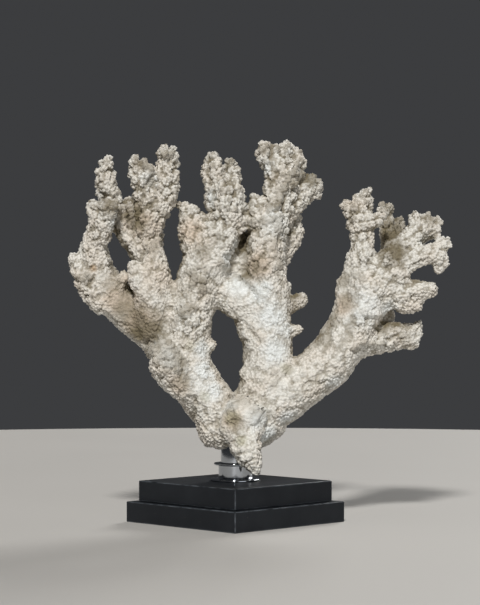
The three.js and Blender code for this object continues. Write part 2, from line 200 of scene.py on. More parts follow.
# Creases between lobes: a run of (x, z) corners, its width and its depth in mm
CREASES = (
    (((36, 374), (37, 366), (38, 352), (39, 342)), 2.6, 4.4),
    (((45, 371), (45.5, 366), (46, 358)), 1.8, 3.0),
    (((55, 371), (54.5, 361), (52, 354)), 2.0, 3.5),
    (((-79, 356), (-69, 358), (-59, 359)), 2.2, 2.6),
    (((-99, 300), (-95, 316), (-88, 333), (-85, 345)), 2.6, 4.0),
    (((-140, 346), (-128, 349), (-119, 351)), 2.0, 2.2),
    (((-134, 325), (-124, 322), (-115, 324)), 2.0, 2.0),
    (((-34, 372), (-33, 356), (-35, 344)), 2.2, 3.0),
    (((-22, 300), (-24, 318), (-20, 334)), 2.4, 3.0),
    (((100, 286), (101, 300), (98, 312)), 2.2, 3.0),
    (((104, 176), (112, 190), (116, 206)), 2.6, 2.8),
    (((86, 170), (92, 182), (95, 196)), 2.2, 2.2),
    (((62, 134), (74, 140), (86, 150)), 2.2, 2.4),
    (((-48, 96), (-42, 108), (-40, 122)), 2.4, 3.0),
    (((-62, 122), (-52, 132), (-46, 146)), 2.4, 2.8),
    (((-150, 232), (-143, 244), (-141, 258)), 2.0, 2.2),
)

# Edges of lobes that lie over what is next to them: the lobe is on the left of the run
LEDGES = (
    (((67, 345), (62, 341), (54, 331), (46, 321), (42, 312)), 9.0, -3.6),
    (((48, 300), (47, 289), (42, 283), (43, 270), (45, 258)), 8.0, -3.2),
    (((13, 303), (25, 305), (37, 303)), 7.0, -2.4),
    (((-14, 92), (-15, 106), (-9, 118), (-2, 125)), 7.0, -4.0),
    (((-2, 125), (8, 127), (18, 124), (27, 113), (31, 104), (30, 92)), 8.0, -4.0),
    (((26, 73), (11, 78), (-6, 77)), 6.0, 1.6),
    (((-87, 176), (-72, 184), (-56, 176), (-48, 160)), 9.0, -4.8),
    (((-92, 152), (-87, 166), (-87, 176)), 7.0, -2.6),
    (((-12, 262), (2, 252), (18, 240), (33, 226)), 8.0, -4.4),
    (((-12, 206), (2, 204), (14, 196), (22, 184)), 6.0, 2.6),
    (((-58, 196), (-50, 206), (-40, 210)), 7.0, 2.4),
    (((-50, 246), (-38, 252), (-26, 250)), 7.0, 2.4),
    (((118, 174), (130, 178), (144, 176)), 7.0, 2.8),
    (((120, 206), (134, 206), (148, 204)), 7.0, 2.6),
    (((-118, 268), (-110, 276), (-100, 280)), 7.0, 2.4),
    (((36, 150), (46, 148), (58, 142), (70, 146)), 7.0, 2.2),
    (((-126, 206), (-112, 192), (-98, 180)), 6.0, 2.0),
)

# Rounded swellings: x, z, radius and height in mm
BOSSES = (
    (-124, 314, 10, 3.6),
    (-85, 354, 6, 2.4),
    (-79, 276, 10, 3.0),
    (-68, 368, 9, 2.0),
    (29, 372, 7, 2.6),
    (41, 374, 5, 2.4),
    (50, 372, 6, 2.4),
    (61, 360, 7, 2.4),
    (52, 155, 8, 3.0),
    (40, 139, 12, 2.6),
    (59, 133, 9, 2.4),
    (-66, 160, 15, 2.6),
    (-52, 128, 9, 2.2),
    (-37, 240, 12, 2.4),
    (-48, 214, 11, 2.2),
    (20, 106, 11, 2.6),
    (-3, 104, 9, -2.4),
    (96, 278, 9, 2.2),
    (118, 246, 12, 2.4),
    (96, 224, 13, 2.2),
    (-150, 246, 9, 2.4),
)

# The width and depth of a ledge's foot, as shares of the ledge's own, and the fade past its ends
LEDGE_FOOT = 0.45
LEDGE_DROP = 0.6
LEDGE_END = 4 * MM

# How round a boss is, and how far the whole relief is smoothed
BOSS_ROUND = 0.7
RELIEF_SMOOTHING = 3

# At the back, creases, ledges and bosses lie (x, z) mm further on
BACK_SHIFT = (6, -8)

# Waves that make their runs uneven: each one's length and height, and how it sways along x and z
WAVES = (
    (4.3 * MM, 1.3 * MM),
    (1.9 * MM, 0.7 * MM),
)
SWAY = (1.7, 1.3)
SWAY_LENGTH = (1.6, 1.4)

# Tinted places and places of painted light and shade: x, y, z and reach in mm, and how strong the tint is
# in the middle
# Bluish white places: a cooler tone, and painted light where light falls brightest
COOL_AND_PAINTED_LIGHT_PLACES = (
    (25, -21, 231, 20, 1.0),
    (5, -15, 236, 18, 0.9),
    (36, -22, 206, 20, 1.0),
    (40, -24, 172, 20, 1.0),
    (50, -18, 192, 14, 0.8),
    (-28, -24, 152, 17, 1.0),
    (-20, -26, 132, 15, 1.0),
    (-8, -30, 114, 12, 0.8),
    (-32, -22, 172, 13, 0.9),
    (-36, -24, 140, 20, 0.6),
    (24, -34, 104, 17, 1.0),
    (40, -24, 128, 16, 0.3),
    (126, -24, 215, 26, 0.8),
    (-50, -20, 200, 16, 0.4),
    (38, -14, 300, 18, 0.6),
    (64, -10, 280, 12, 0.6),
    (204, 0, 290, 20, 0.3),
    (-118, -12, 300, 15, 0.8),
    (-110, -10, 318, 11, 0.7),
    (-85, -9, 341, 12, 0.8),
    (-25, -3, 323, 12, 0.9),
    (-6, -20, 262, 12, 0.9),
    (3, -16, 276, 10, 0.9),
    (29, -8, 354, 12, 0.8),
    (-104, -24, 236, 12, 0.8),
    (188, 0, 282, 11, 0.7),
    (153, -10, 212, 12, 0.8),
    (32, -20, 88, 14, 1.0),
    (52, -16, 106, 13, 0.9),
    (100, -16, 140, 13, 0.8),
    (-80, -20, 174, 11, 0.8),
    (200, 0, 262, 16, 0.5),
    (-66, -30, 165, 14, 0.7),
    (20, 44, 140, 26, 0.8),
    (100, 36, 196, 24, 0.7),
)
# Olive places: a faint olive tone, and painted shade in the boss's sunken half and under the lobe before
# the collar
OLIVE_AND_PAINTED_SHADE_PLACES = (
    (5, -40, 84, 8, 0.8),
    (-4, -33, 106, 11, 0.9),
    (52, -24, 155, 9, 0.75),
    (-30, -26, 127, 8, 0.5),
    (-45, -24, 177, 8, 0.45),
    (134, 12, 250, 16, 0.5),
    (-10, 40, 120, 14, 0.6),
    (-70, 34, 210, 12, 0.5),
)
OCHRE_PLACES = (
    (-141, -10, 254, 5, 0.9),
    (18, -20, 292, 9, 0.3),
    (60, 40, 230, 7, 0.6),
)
# Peach places: a warm tone, and painted warm shade under the left arm and where other shade falls
PEACH_AND_PAINTED_SHADE_PLACES = (
    (-110, -14, 228, 30, 0.5),
    (-84, -10, 286, 28, 0.4),
    (-80, -16, 242, 24, 0.5),
    (-96, -17, 200, 26, 0.95),
    (-114, -11, 222, 24, 0.8),
    (-98, -8, 302, 22, 0.9),
    (-45, -8, 292, 18, 0.8),
    (20, -20, 256, 20, 0.9),
    (-6, -34, 104, 15, 0.8),
    (109, -17, 216, 15, 0.8),
    (-84, -10, 240, 14, 0.35),
    (-56, -29, 138, 14, 0.6),
    (-120, 30, 236, 26, 0.7),
    (36, 40, 200, 24, 0.6),
)
# Painted shade: places darkened towards the shade colour of the hollows, where shade falls on the coral
PAINTED_SHADE_PLACES = (
    (-96, -17, 200, 22, 0.75),
    (-100, -14, 188, 18, 1.0),
    (-84, -21, 192, 20, 0.85),
    (-109, -11, 210, 20, 0.65),
    (-122, -11, 236, 15, 0.4),
    (-80, -6, 180, 20, 0.6),
    (-102, -5, 306, 16, 0.75),
    (-94, -11, 296, 12, 0.45),
    (-52, -30, 141, 15, 0.45),
    (2, -36, 98, 14, 0.35),
    (-7, -31, 111, 10, 0.3),
    (165, 18, 290, 24, 0.8),
    (167, 33, 310, 20, 0.55),
    (159, 25, 317, 16, 0.5),
    (158, -10, 269, 19, 0.9),
    (107, -11, 241, 12, 0.6),
    (95, -12, 202, 14, 0.6),
    (83, -13, 184, 14, 0.6),
    (57, 0, 228, 13, 0.7),
    (145, -1, 196, 14, 0.65),
    (160, 0, 196, 9, 0.4),
    (-94, -9, 356, 9, 0.45),
    (-7, 20, 361, 14, 0.5),
    (-30, 10, 362, 11, 0.5),
    (76, 7, 345, 14, 0.7),
    (12, 8, 276, 14, 0.7),
    (60, -6, 208, 15, 0.3),
    (40, 36, 262, 16, 0.5),
    (20, -20, 255, 12, 0.55),
    (14, -10, 246, 12, 0.6),
    (-32, -24, 270, 12, 0.5),
    (-15, -22, 283, 9, 0.5),
    (-50, -22, 227, 12, 0.35),
    (-80, -20, 208, 13, 0.5),
    (112, -17, 221, 15, 0.5),
    (137, 0, 307, 11, 0.5),
    (194, 0, 304, 12, 0.5),
    (170, -5, 186, 16, 0.35),
    (-12, -36, 96, 12, 0.2),
    (34, -34, 118, 7, 0.3),
)

# Tints over the bone, in turn: the colour's name in the settings, its share and its places
# The first tint is partly painted light; the peach and olive tints are partly painted shade
TINTS = (
    ("cool_and_painted_light", 0.85, COOL_AND_PAINTED_LIGHT_PLACES),
    ("peach", 0.7, PEACH_AND_PAINTED_SHADE_PLACES),
    ("olive", 0.55, OLIVE_AND_PAINTED_SHADE_PLACES),
    ("ochre", 0.75, OCHRE_PLACES),
)
PLACE_WAVER = 7 * MM
PLACE_EDGE = 0.6
NOISE_ROUGHNESS = 0.55
DULL_CHROME = (0.35, 0.33, 0.3)


def linear(hex_colour):
    """A colour written as in a picture, as the linear values that a shader takes."""
    shares = [int(hex_colour[at : at + 2], 16) / 255 for at in (0, 2, 4)]
    return tuple(s / 12.92 if s <= 0.04045 else ((s + 0.055) / 1.055) ** 2.4 for s in shares)


def colour(name, description, hex_colour):
    return FloatVectorProperty(
        name=name,
        description=description,
        default=linear(hex_colour),
        size=3,
        min=0,
        max=1,
        subtype="COLOR",
    )


def power(name, description, default):
    return FloatProperty(name=name, description=description, default=default, min=0)


def length(name, description, default):
    return FloatProperty(
        name=name,
        description=description,
        default=default,
        min=0,
        precision=5,
        unit="LENGTH",
        subtype="DISTANCE",
    )


class CoralSettings(bpy.types.PropertyGroup):
    skin_step: length("Skin step", "Width of the skin's squares before they are divided", 1.75 * MM)
    knob_spacing: length("Knob spacing", "Least distance between two knobs", 2.45 * MM)
    knob_height: length("Knob height", "How far a knob stands up", 1.95 * MM)
    lump_spacing: length("Lump spacing", "Least distance between two lumps", 6.4 * MM)
    lump_height: length("Lump height", "How far a lump of knobs stands up", 3.8 * MM)
    sink: length("Sink", "How far the skin is drawn in under its knobs", 3.7 * MM)
    seed: IntProperty(name="Seed", description="Start of the knobs' scatter", default=7, min=0)
    bone: colour("Bone", "The bleached surface", "EDEAE2")
    # Bluish white: a cooler tone, and painted light in the places where it is laid
    cool_and_painted_light: colour("Cool white", "The whitest, barest places", "F3F7F6")
    # Painted shade colour between the knobs
    crevice_shade: colour("Crevice", "Between the knobs", "8C8371")
    # Painted shade colour, deep between the branches, in creases and in the places of painted shade
    hollow: colour("Hollow", "Deep between the branches", "7A705A")
    # Olive: a faint tone, and in places painted shade
    olive: colour("Olive", "Faint old growth", "9C9A6C")
    ochre: colour("Ochre", "Small stains", "B58A4E")
    # Peach: a warm tone laid at random, and painted warm shade in places
    peach: colour("Peach", "Warm, rosy places", "D8BFA5")


class StandSettings(bpy.types.PropertyGroup):
    edge_round: length("Edge rounding", "Radius of the slabs' edges", 0.9 * MM)
    lacquer: colour("Lacquer", "The slabs' black", "0E1116")
    # Edge grey: wear together with a painted highlight along the slabs' rims
    worn: colour("Worn edge", "Where the lacquer has thinned", "6C7278")
    dust: colour("Dust", "Specks on the slabs", "8F8578")


class CollarSettings(bpy.types.PropertyGroup):
    rim_round: length("Rim rounding", "Radius of the turned rims", 0.7 * MM)
    around: IntProperty(name="Steps around", description="Steps of the turning", default=96, min=24)
    chrome: colour("Chrome", "The polished metal", "B4B8BD")


class StageSettings(bpy.types.PropertyGroup):
    floor: colour("Floor", "The pale floor", "C9C6C1")
    surround: colour("Surround", "The light from all round", "9A9CA0")
    key_power: power("Key light", "Strength of the key light", 2.65)
    back_power: power("Back light", "Strength of the back light", 1.2)
    fill_power: power("Fill light", "Power of the fill light", 3.5)


class Value:
    """A socket that can be reckoned with: each sum adds its Math node."""

    def __init__(self, tree, socket):
        self.tree = tree
        self.socket = socket

    def reckon(self, operation, *others, clamped=False):
        made = self.tree.nodes.new("ShaderNodeMath")
        made.operation = operation
        made.use_clamp = clamped
        for slot, other in enumerate((self, *others)):
            put(self.tree, made.inputs[slot], other)
        return Value(self.tree, made.outputs[0])

    def __add__(self, other):
        return self.reckon("ADD", other)

    def __radd__(self, other):
        return self.reckon("ADD", other)

    def __sub__(self, other):
        return self.reckon("SUBTRACT", other)

    def __rsub__(self, other):
        return constant(self.tree, other).reckon("SUBTRACT", self)

    def __mul__(self, other):
        return self.reckon("MULTIPLY", other)

    def __rmul__(self, other):
        return self.reckon("MULTIPLY", other)

    def __truediv__(self, other):
        return self.reckon("DIVIDE", other)

    def __pow__(self, other):
        return self.reckon("POWER", other)

    def __abs__(self):
        return self.reckon("ABSOLUTE")

    def clamped(self):
        return self.reckon("ADD", 0.0, clamped=True)

    def most(self, other):
        return self.reckon("MAXIMUM", other)

    def between(self, low, high):
        """0 below low, 1 above high, and a straight climb from one to the other."""
        return ((self - low) / (high - low)).clamped()


def constant(tree, number):
    made = tree.nodes.new("ShaderNodeValue")
    made.outputs[0].default_value = number
    return Value(tree, made.outputs[0])


def put(tree, target, given):
    if isinstance(given, Value):
        given = given.socket
    if isinstance(given, bpy.types.NodeSocket):
        tree.links.new(given, target)
    else:
        target.default_value = given


class Nodes:
    """A node tree, with one way to add any node: its kind, its settings, then its inputs."""

    def __init__(self, tree):
        self.tree = tree

    def add(self, kind, settings=None, inputs=None):
        made = self.tree.nodes.new(kind)
        for name, setting in (settings or {}).items():
            setattr(made, name, setting)
        for name, given in (inputs or {}).items():
            put(self.tree, made.inputs[name], given)
        return made

    def value(self, kind, settings=None, inputs=None, output=0):
        return Value(self.tree, self.add(kind, settings, inputs).outputs[output])

    def vector(self, operation, first, second=None, scale=None):
        made = self.add("ShaderNodeVectorMath", {"operation": operation}, {0: first})
        if second is not None:
            put(self.tree, made.inputs[1], second)
        if scale is not None:
            put(self.tree, made.inputs["Scale"], scale)
        return made.outputs["Vector"]

    def blend(self, factor, first, second):
        """Two colours mixed by a factor, through the Mix node's colour sockets."""
        made = self.add("ShaderNodeMix", {"data_type": "RGBA"})
        for slot, given in ((0, factor), (6, first), (7, second)):
            put(self.tree, made.inputs[slot], given)
        return made.outputs[2]

    def number(self, name):
        """A number that the mesh holds for each of its points, as a material reads it."""
        return self.value("ShaderNodeAttribute", {"attribute_name": name}, output=2)

    def stored(self, name):
        """A number that the mesh holds for each of its points, as a geometry tree reads it."""
        return self.value("GeometryNodeInputNamedAttribute", {"data_type": "FLOAT"}, {"Name": name})


def solid_colour(values):
    return (*values, 1.0)


def surface(name, base=(0.5, 0.5, 0.5), roughness=0.5, metallic=0.0, gloss=0.5):
    """A new material with its main shader, its nodes and its Object coordinates."""
    material = bpy.data.materials.new(name)
    material.use_nodes = True
    material.node_tree.nodes.clear()
    nodes = Nodes(material.node_tree)
    shader = nodes.add("ShaderNodeBsdfPrincipled")
    shader.inputs["Base Color"].default_value = solid_colour(base)
    shader.inputs["Roughness"].default_value = roughness
    shader.inputs["Metallic"].default_value = metallic
    shader.inputs["Specular IOR Level"].default_value = gloss
    nodes.add("ShaderNodeOutputMaterial", inputs={"Surface": shader.outputs[0]})
    place = nodes.add("ShaderNodeTexCoord").outputs["Object"]
    return material, nodes, shader, place


def noise(nodes, place, wide, detail=3.0):
    """Soft noise whose swells are about this wide, in metres."""
    inputs = {"Vector": place, "Scale": 1 / wide, "Detail": detail, "Roughness": NOISE_ROUGHNESS}
    return nodes.value("ShaderNodeTexNoise", inputs=inputs)


def near(nodes, place, places):
    """1 in the middle of any of the places and 0 past their reach, with a wavering edge."""
    waver = noise(nodes, place, PLACE_WAVER) - 0.5
    most = None
    for x, y, z, reach, strength in places:
        centre = (x * MM, y * MM, z * MM)
        apart = nodes.add("ShaderNodeVectorMath", {"operation": "DISTANCE"}, {0: place, 1: centre})
        inside = 1 - Value(nodes.tree, apart.outputs["Value"]) / (reach * MM)
        share = (inside + waver * PLACE_EDGE).between(0.0, PLACE_EDGE) * strength
        most = share if most is None else most.most(share)
    return most


def coral_material(settings):
    """Bone white, tinted in places, with painted light, and painted shade between knobs, in creases and in
    hollows.
    """
    material, nodes, shader, place = surface("bleached_coral", roughness=0.82, gloss=0.3)
    cloudy = noise(nodes, place, 24 * MM)
    mottled = noise(nodes, place, 5 * MM)

    bone = solid_colour(settings.bone)
    toned = nodes.blend((cloudy - 0.42).clamped() * 1.1, bone, solid_colour(settings.peach))
    masks = {}
    for name, share, places in TINTS:
        masks[name] = near(nodes, place, places)
        toned = nodes.blend(masks[name] * share, toned, solid_colour(getattr(settings, name)))

    # Painted shade between the knobs and at the foot of lumps, less of it where painted light is laid
    low = (1 - nodes.number("rise")).clamped() ** 1.4
    foot = (1 - nodes.number("swell")).clamped() ** 2
    between = (low * (0.32 + mottled * 0.64) + foot * 0.3).clamped()
    between = between * (1 - masks["cool_and_painted_light"] * 0.3)
    toned = nodes.blend(between, toned, solid_colour(settings.crevice_shade))
    # Painted shade: darker in the given places, in creases and where other branches close off the open view
    painted_shade = near(nodes, place, PAINTED_SHADE_PLACES)
    crease_shade = (nodes.number("relief") * -1).between(0.6 * MM, 4 * MM)
    deep = (nodes.number("hollow").between(0.28, 0.8) * 0.85 + painted_shade + crease_shade * 0.14).clamped()
    toned = nodes.blend(deep * (0.85 + mottled * 0.4), toned, solid_colour(settings.hollow))
    put(nodes.tree, shader.inputs["Base Color"], toned)

    grains = nodes.value("ShaderNodeTexVoronoi", inputs={"Vector": place, "Scale": 1 / (1.9 * MM)})
    pores = noise(nodes, place, 0.7 * MM, detail=2.0)
    height = (1 - grains) + pores * 0.4
    bump = nodes.add("ShaderNodeBump", inputs={"Strength": 0.7, "Distance": 0.7 * MM, "Height": height})
    put(nodes.tree, shader.inputs["Normal"], bump.outputs["Normal"])
    put(nodes.tree, shader.inputs["Roughness"], 0.74 + mottled * 0.2)
    return material


def vectors_of(mesh, key):
    flat = np.empty(len(mesh.vertices) * 3, np.float32)
    mesh.vertices.foreach_get(key, flat)
    return flat.reshape(-1, 3).astype(float)


def points_of(mesh):
    return vectors_of(mesh, "co")


def normals_of(mesh):
    return vectors_of(mesh, "normal")


def edges_of(mesh):
    flat = np.empty(len(mesh.edges) * 2, np.int32)
    mesh.edges.foreach_get("vertices", flat)
    return flat.reshape(-1, 2)


def quads_of(mesh):
    flat = np.empty(len(mesh.loops), np.int32)
    mesh.loops.foreach_get("vertex_index", flat)
    if len(flat) != 4 * len(mesh.polygons):
        raise RuntimeError("the coral's skin is not all squares")
    return flat.reshape(-1, 4)


def set_points(mesh, points):
    mesh.vertices.foreach_set("co", points.astype(np.float32).ravel())
    mesh.update()


def set_attribute(mesh, name, values):
    mesh.attributes.new(name, "FLOAT", "POINT").data.foreach_set("value", values.astype(np.float32))


def smoothed(values, edges, rounds, share=0.5):
    """Each vertex's values drawn towards the mean of its neighbours'."""
    values = values.reshape(len(values), -1)
    counts = np.bincount(edges.ravel(), minlength=len(values))[:, None]
    for _ in range(rounds):
        total = np.empty_like(values)
        for axis in range(values.shape[1]):
            column = values[:, axis]
            there = np.bincount(edges[:, 0], column[edges[:, 1]], len(values))
            back = np.bincount(edges[:, 1], column[edges[:, 0]], len(values))
            total[:, axis] = there + back
        values = values + share * (total / np.maximum(counts, 1) - values)
    return values


def linked_groups(count, pairs):
    """The number of each item's group, where pairs of items belong together."""
    group = np.arange(count)
    while True:
        low = np.minimum(group[pairs[:, 0]], group[pairs[:, 1]])
        after = group.copy()
        np.minimum.at(after, pairs[:, 0], low)
        np.minimum.at(after, pairs[:, 1], low)
        after = after[after]
        if np.array_equal(after, group):
            return group
        group = after


def joined_solids():
    """One mesh of all the coral's solids, their skins moved out so that the splits close."""
    whole = bmesh.new()
    for name in CORAL_NODES:
        whole.from_mesh(NODES[name].data)
    bmesh.ops.remove_doubles(whole, verts=whole.verts, dist=WELD)
    whole.normal_update()
    for vertex in whole.verts:
        vertex.co += vertex.normal * SPLIT_CLOSING
    mesh = bpy.data.meshes.new("coral_solids")
    whole.to_mesh(mesh)
    whole.free()
    return mesh


def evaluated_mesh(scene_object):
    depsgraph = bpy.context.evaluated_depsgraph_get()
    return bpy.data.meshes.new_from_object(scene_object.evaluated_get(depsgraph))


def largest_part(mesh):
    """The mesh without the loose bubbles that the remesh leaves inside it."""
    group = linked_groups(len(mesh.vertices), edges_of(mesh))
    kept = np.bincount(group).argmax()
    loose = np.nonzero(group != kept)[0]
    work = bmesh.new()
    work.from_mesh(mesh)
    work.verts.ensure_lookup_table()
    bmesh.ops.delete(work, geom=[work.verts[at] for at in loose], context="VERTS")
    work.to_mesh(mesh)
    work.free()
    return mesh


def plain_skin(step):
    """The coral's smooth skin, in squares about as wide as the step."""
    shape = bpy.data.objects.new("coral_skin", joined_solids())
    bpy.context.scene.collection.objects.link(shape)
    remesh = shape.modifiers.new("Remesh", "REMESH")
    remesh.mode = "VOXEL"
    remesh.voxel_size = step
    mesh = largest_part(evaluated_mesh(shape))
    bpy.data.objects.remove(shape)
    set_points(mesh, smoothed(points_of(mesh), edges_of(mesh), SMOOTHING_ROUNDS))
    return mesh


def hollowness(mesh, tree):
    """For each vertex, the share of its open view that other branches close off."""
    points = points_of(mesh)
    normals = normals_of(mesh)
    rays = np.random.default_rng(HOLLOW_SEED).normal(size=(HOLLOW_RAYS, 3))
    rays /= np.linalg.norm(rays, axis=1)[:, None]
    closed = np.zeros(len(points))
    starts = points + normals * RAY_START
    for ray in rays:
        aims = normals + RAY_SPREAD * ray
        for at, (start, aim) in enumerate(zip(starts.tolist(), aims.tolist())):
            if tree.ray_cast(start, aim, HOLLOW_REACH)[0] is not None:
                closed[at] += 1
    return smoothed(closed / HOLLOW_RAYS, edges_of(mesh), HOLLOW_SMOOTHING)[:, 0]


def faces_open(mesh, tree, aim):
    """For each vertex, 1 where it faces along the aim with nothing in between, and 0 elsewhere."""
    normals = normals_of(mesh)
    facing = np.clip(normals @ np.array(aim) * FACING_GAIN, 0, 1)
    starts = points_of(mesh) + normals * RAY_START
    for at in np.nonzero(facing)[0]:
        if tree.ray_cast(starts[at].tolist(), aim)[0] is not None:
            facing[at] = 0
    return smoothed(facing, edges_of(mesh), FACING_SMOOTHING)[:, 0]


def along_run(places, run):
    """How far each place is across a run of corners, its left side above 0, and past its ends."""
    across = np.full(len(places), np.inf)
    past = np.full(len(places), np.inf)
    for start, end in zip(run[:-1], run[1:]):
        first = np.array(start) * MM
        way = np.array(end) * MM - first
        reach = np.linalg.norm(way)
        way /= reach
        seen = places - first
        at = seen @ way
        side = seen @ np.array((-way[1], way[0]))
        over = np.maximum(np.maximum(-at, at - reach), 0)
        nearer = np.hypot(side, over) < np.hypot(across, past)
        across[nearer] = side[nearer]
        past[nearer] = over[nearer]
    return across, past


def wavered(places):
    """The (x, z) places shifted by slow waves, so that what is laid on them runs unevenly."""
    x, z = places[:, 0], places[:, 1]
    shift = np.zeros_like(places)
    for wave, high in WAVES:
        shift[:, 0] += high * np.sin(z / wave + SWAY[0] * np.sin(x / (SWAY_LENGTH[0] * wave)))
        shift[:, 1] += high * np.cos(x / wave + SWAY[1] * np.sin(z / (SWAY_LENGTH[1] * wave)))
    return places + shift


def lobes(places):
    """How far the creases, ledges and swellings move each (x, z) place out, in metres."""
    places = wavered(places)
    raised = np.zeros(len(places))
    for run, wide, deep in CREASES:
        across, past = along_run(places, run)
        raised -= deep * MM * np.exp(-((np.hypot(across, past) / (wide * MM)) ** 2))
    for run, wide, high in LEDGES:
        across, past = along_run(places, run)
        lobe = np.exp(-((across / (wide * MM)) ** 2))
        foot = -LEDGE_DROP * np.exp(-((across / (LEDGE_FOOT * wide * MM)) ** 2))
        fade = np.exp(-((past / LEDGE_END) ** 2))
        is_lobe = across * np.sign(high) > 0
        raised += abs(high) * MM * fade * np.where(is_lobe, lobe, foot)
    for x, z, radius, high in BOSSES:
        apart = np.hypot(places[:, 0] - x * MM, places[:, 1] - z * MM) / (radius * MM)
        raised += high * MM * np.clip(1 - apart**2, 0, 1) ** BOSS_ROUND
    return raised


def relief(mesh, tree):
    """How far each vertex moves out for the lobes, which show in front and, shifted, at the back."""
    places = points_of(mesh)[:, [0, 2]]
    in_front = faces_open(mesh, tree, (0, -1, 0))
    behind = faces_open(mesh, tree, (0, 1, 0))
    shifted = places - np.array(BACK_SHIFT) * MM
    raised = lobes(places) * in_front + lobes(shifted) * behind
    return smoothed(raised, edges_of(mesh), RELIEF_SMOOTHING)[:, 0]


def nearness(points, place, reach, gain):
    """How near each point is to a place in mm: 1 about its middle, and 0 past its reach."""
    apart = np.linalg.norm(points - np.array(place) * MM, axis=1)
    return np.clip(gain * (1 - apart / (reach * MM)), 0, 1)


def knobbliness(points):
    """How full the knobs stand at each point: most on crowns and rough places, least on worn ones."""
    climb = np.clip((points[:, 2] - CROWN_FOOT) / (CROWN_TOP - CROWN_FOOT), 0, 1)
    knobbly = KNOBBLY_STEM + (KNOBBLY_CROWN - KNOBBLY_STEM) * climb
    for *place, reach, strength in ROUGH_PLACES:
        share = strength * nearness(points, place, reach, ROUGH_GAIN)
        knobbly += share * np.maximum(strength - knobbly, 0)
    for *place, reach, strength in SMOOTH_PLACES:
        share = nearness(points, place, reach, SMOOTH_GAIN)
        knobbly = np.minimum(knobbly, 1 - strength * share)
    return knobbly


def domes(nodes, skin, place, shift, spacing, seed, waver_share, reach):
    """Domes over points scattered on the skin: their height share, and each one's size."""
    tree = nodes.tree
    density = constant(tree, DOMES_PER_SQUARE) / (spacing * spacing)
    scattered = nodes.add(
        "GeometryNodeDistributePointsOnFaces",
        {"distribute_method": "POISSON"},
        {"Mesh": skin, "Distance Min": spacing, "Density Max": density, "Seed": seed},
    ).outputs["Points"]
    moved = nodes.vector("SCALE", shift, scale=spacing * waver_share)
    seen = {"Geometry": scattered, "Sample Position": nodes.vector("ADD", place, moved)}
    nearest = nodes.add("GeometryNodeProximity", {"target_element": "POINTS"}, seen)
    index = nodes.add("GeometryNodeSampleNearest", inputs=seen)
    chance = nodes.add("FunctionNodeRandomValue", {"data_type": "FLOAT"}, {"Seed": seed})
    put(tree, chance.inputs[2], DOME_SIZES[0])
    put(tree, chance.inputs[3], DOME_SIZES[1])
    picked = nodes.add("GeometryNodeSampleIndex", {"data_type": "FLOAT"}, {"Geometry": scattered})
    put(tree, picked.inputs["Value"], chance.outputs[1])
    put(tree, picked.inputs["Index"], index.outputs[0])
    across = Value(tree, nearest.outputs["Distance"]) / (spacing * reach)
    dome = (1 - across * across).most(0.0) ** DOME_STEEPNESS
    return dome, Value(tree, picked.outputs[0])


def from_left(share, left):
    """A share that is 1 where the knobs stand full and falls to what is left on bare coral."""
    return share * (1 - left) + left


def knob_tree(material):
    """Knobs on lumps all over a skin: the nearest of many scattered points gives each its dome."""
    tree = bpy.data.node_groups.new("coral_knobs", "GeometryNodeTree")
    interface = tree.interface
    interface.new_socket("Geometry", in_out="INPUT", socket_type="NodeSocketGeometry")
    interface.new_socket("Geometry", in_out="OUTPUT", socket_type="NodeSocketGeometry")
    for name in KNOB_SIZES:
        interface.new_socket(name, in_out="INPUT", socket_type="NodeSocketFloat")
    interface.new_socket("Seed", in_out="INPUT", socket_type="NodeSocketInt")
    nodes = Nodes(tree)
    given = nodes.add("NodeGroupInput").outputs

    skin = given["Geometry"]
    fine = nodes.add("GeometryNodeSubdivisionSurface", inputs={"Mesh": skin, "Level": 1}).outputs[0]
    place = nodes.add("GeometryNodeInputPosition").outputs[0]
    normal = nodes.add("GeometryNodeInputNormal").outputs[0]
    waver = nodes.add("ShaderNodeTexNoise", inputs={"Vector": place, "Scale": WAVER_SCALE, "Detail": 1.0})
    shift = nodes.vector("SUBTRACT", waver.outputs["Color"], (0.5, 0.5, 0.5))

    size = {name: Value(tree, given[name]) for name in KNOB_SIZES}
    seed = Value(tree, given["Seed"])

    def scattered(spacing, extra_seed, waver_share, reach):
        return domes(nodes, skin, place, shift, spacing, seed + extra_seed, waver_share, reach)

    knob, knob_size = scattered(size["Knob Spacing"], *KNOB_DOMES)
    lump, lump_size = scattered(size["Lump Spacing"], *LUMP_DOMES)
    knobbly = nodes.stored("knobbly")
    broad_inputs = {"Vector": place, "Scale": BROAD_SCALE, "Detail": 2.0}
    broad = nodes.value("ShaderNodeTexNoise", inputs=broad_inputs)
    full = from_left(knobbly, KNOBS_LEFT) * (BROAD_LEAST + broad * BROAD_RANGE)
    knobs_up = knob * knob_size * full * size["Knob Height"]
    lumps_up = lump * lump_size * (knobbly ** LUMPS_POWER) * size["Lump Height"]
    sunk = size["Sink"] * from_left(knobbly, SINK_LEFT)
    up = knobs_up + lumps_up + nodes.stored("relief") - sunk
    raised = nodes.add(
        "GeometryNodeSetPosition",
        inputs={"Geometry": fine, "Offset": nodes.vector("SCALE", normal, scale=up)},
    ).outputs[0]
    rise = 1 - (1 - knob) * from_left(knobbly, RISE_LEFT)
    for name, share in (("rise", rise), ("swell", lump)):
        settings = {"data_type": "FLOAT", "domain": "POINT"}
        stored = nodes.add("GeometryNodeStoreNamedAttribute", settings, {"Geometry": raised, "Name": name})
        put(tree, stored.inputs["Value"], share)
        raised = stored.outputs[0]
    real = nodes.add("GeometryNodeRealizeInstances", inputs={"Geometry": raised}).outputs[0]
    dressed = nodes.add("GeometryNodeSetMaterial", inputs={"Geometry": real, "Material": material})
    nodes.add("NodeGroupOutput", inputs={"Geometry": dressed.outputs[0]})
    return tree


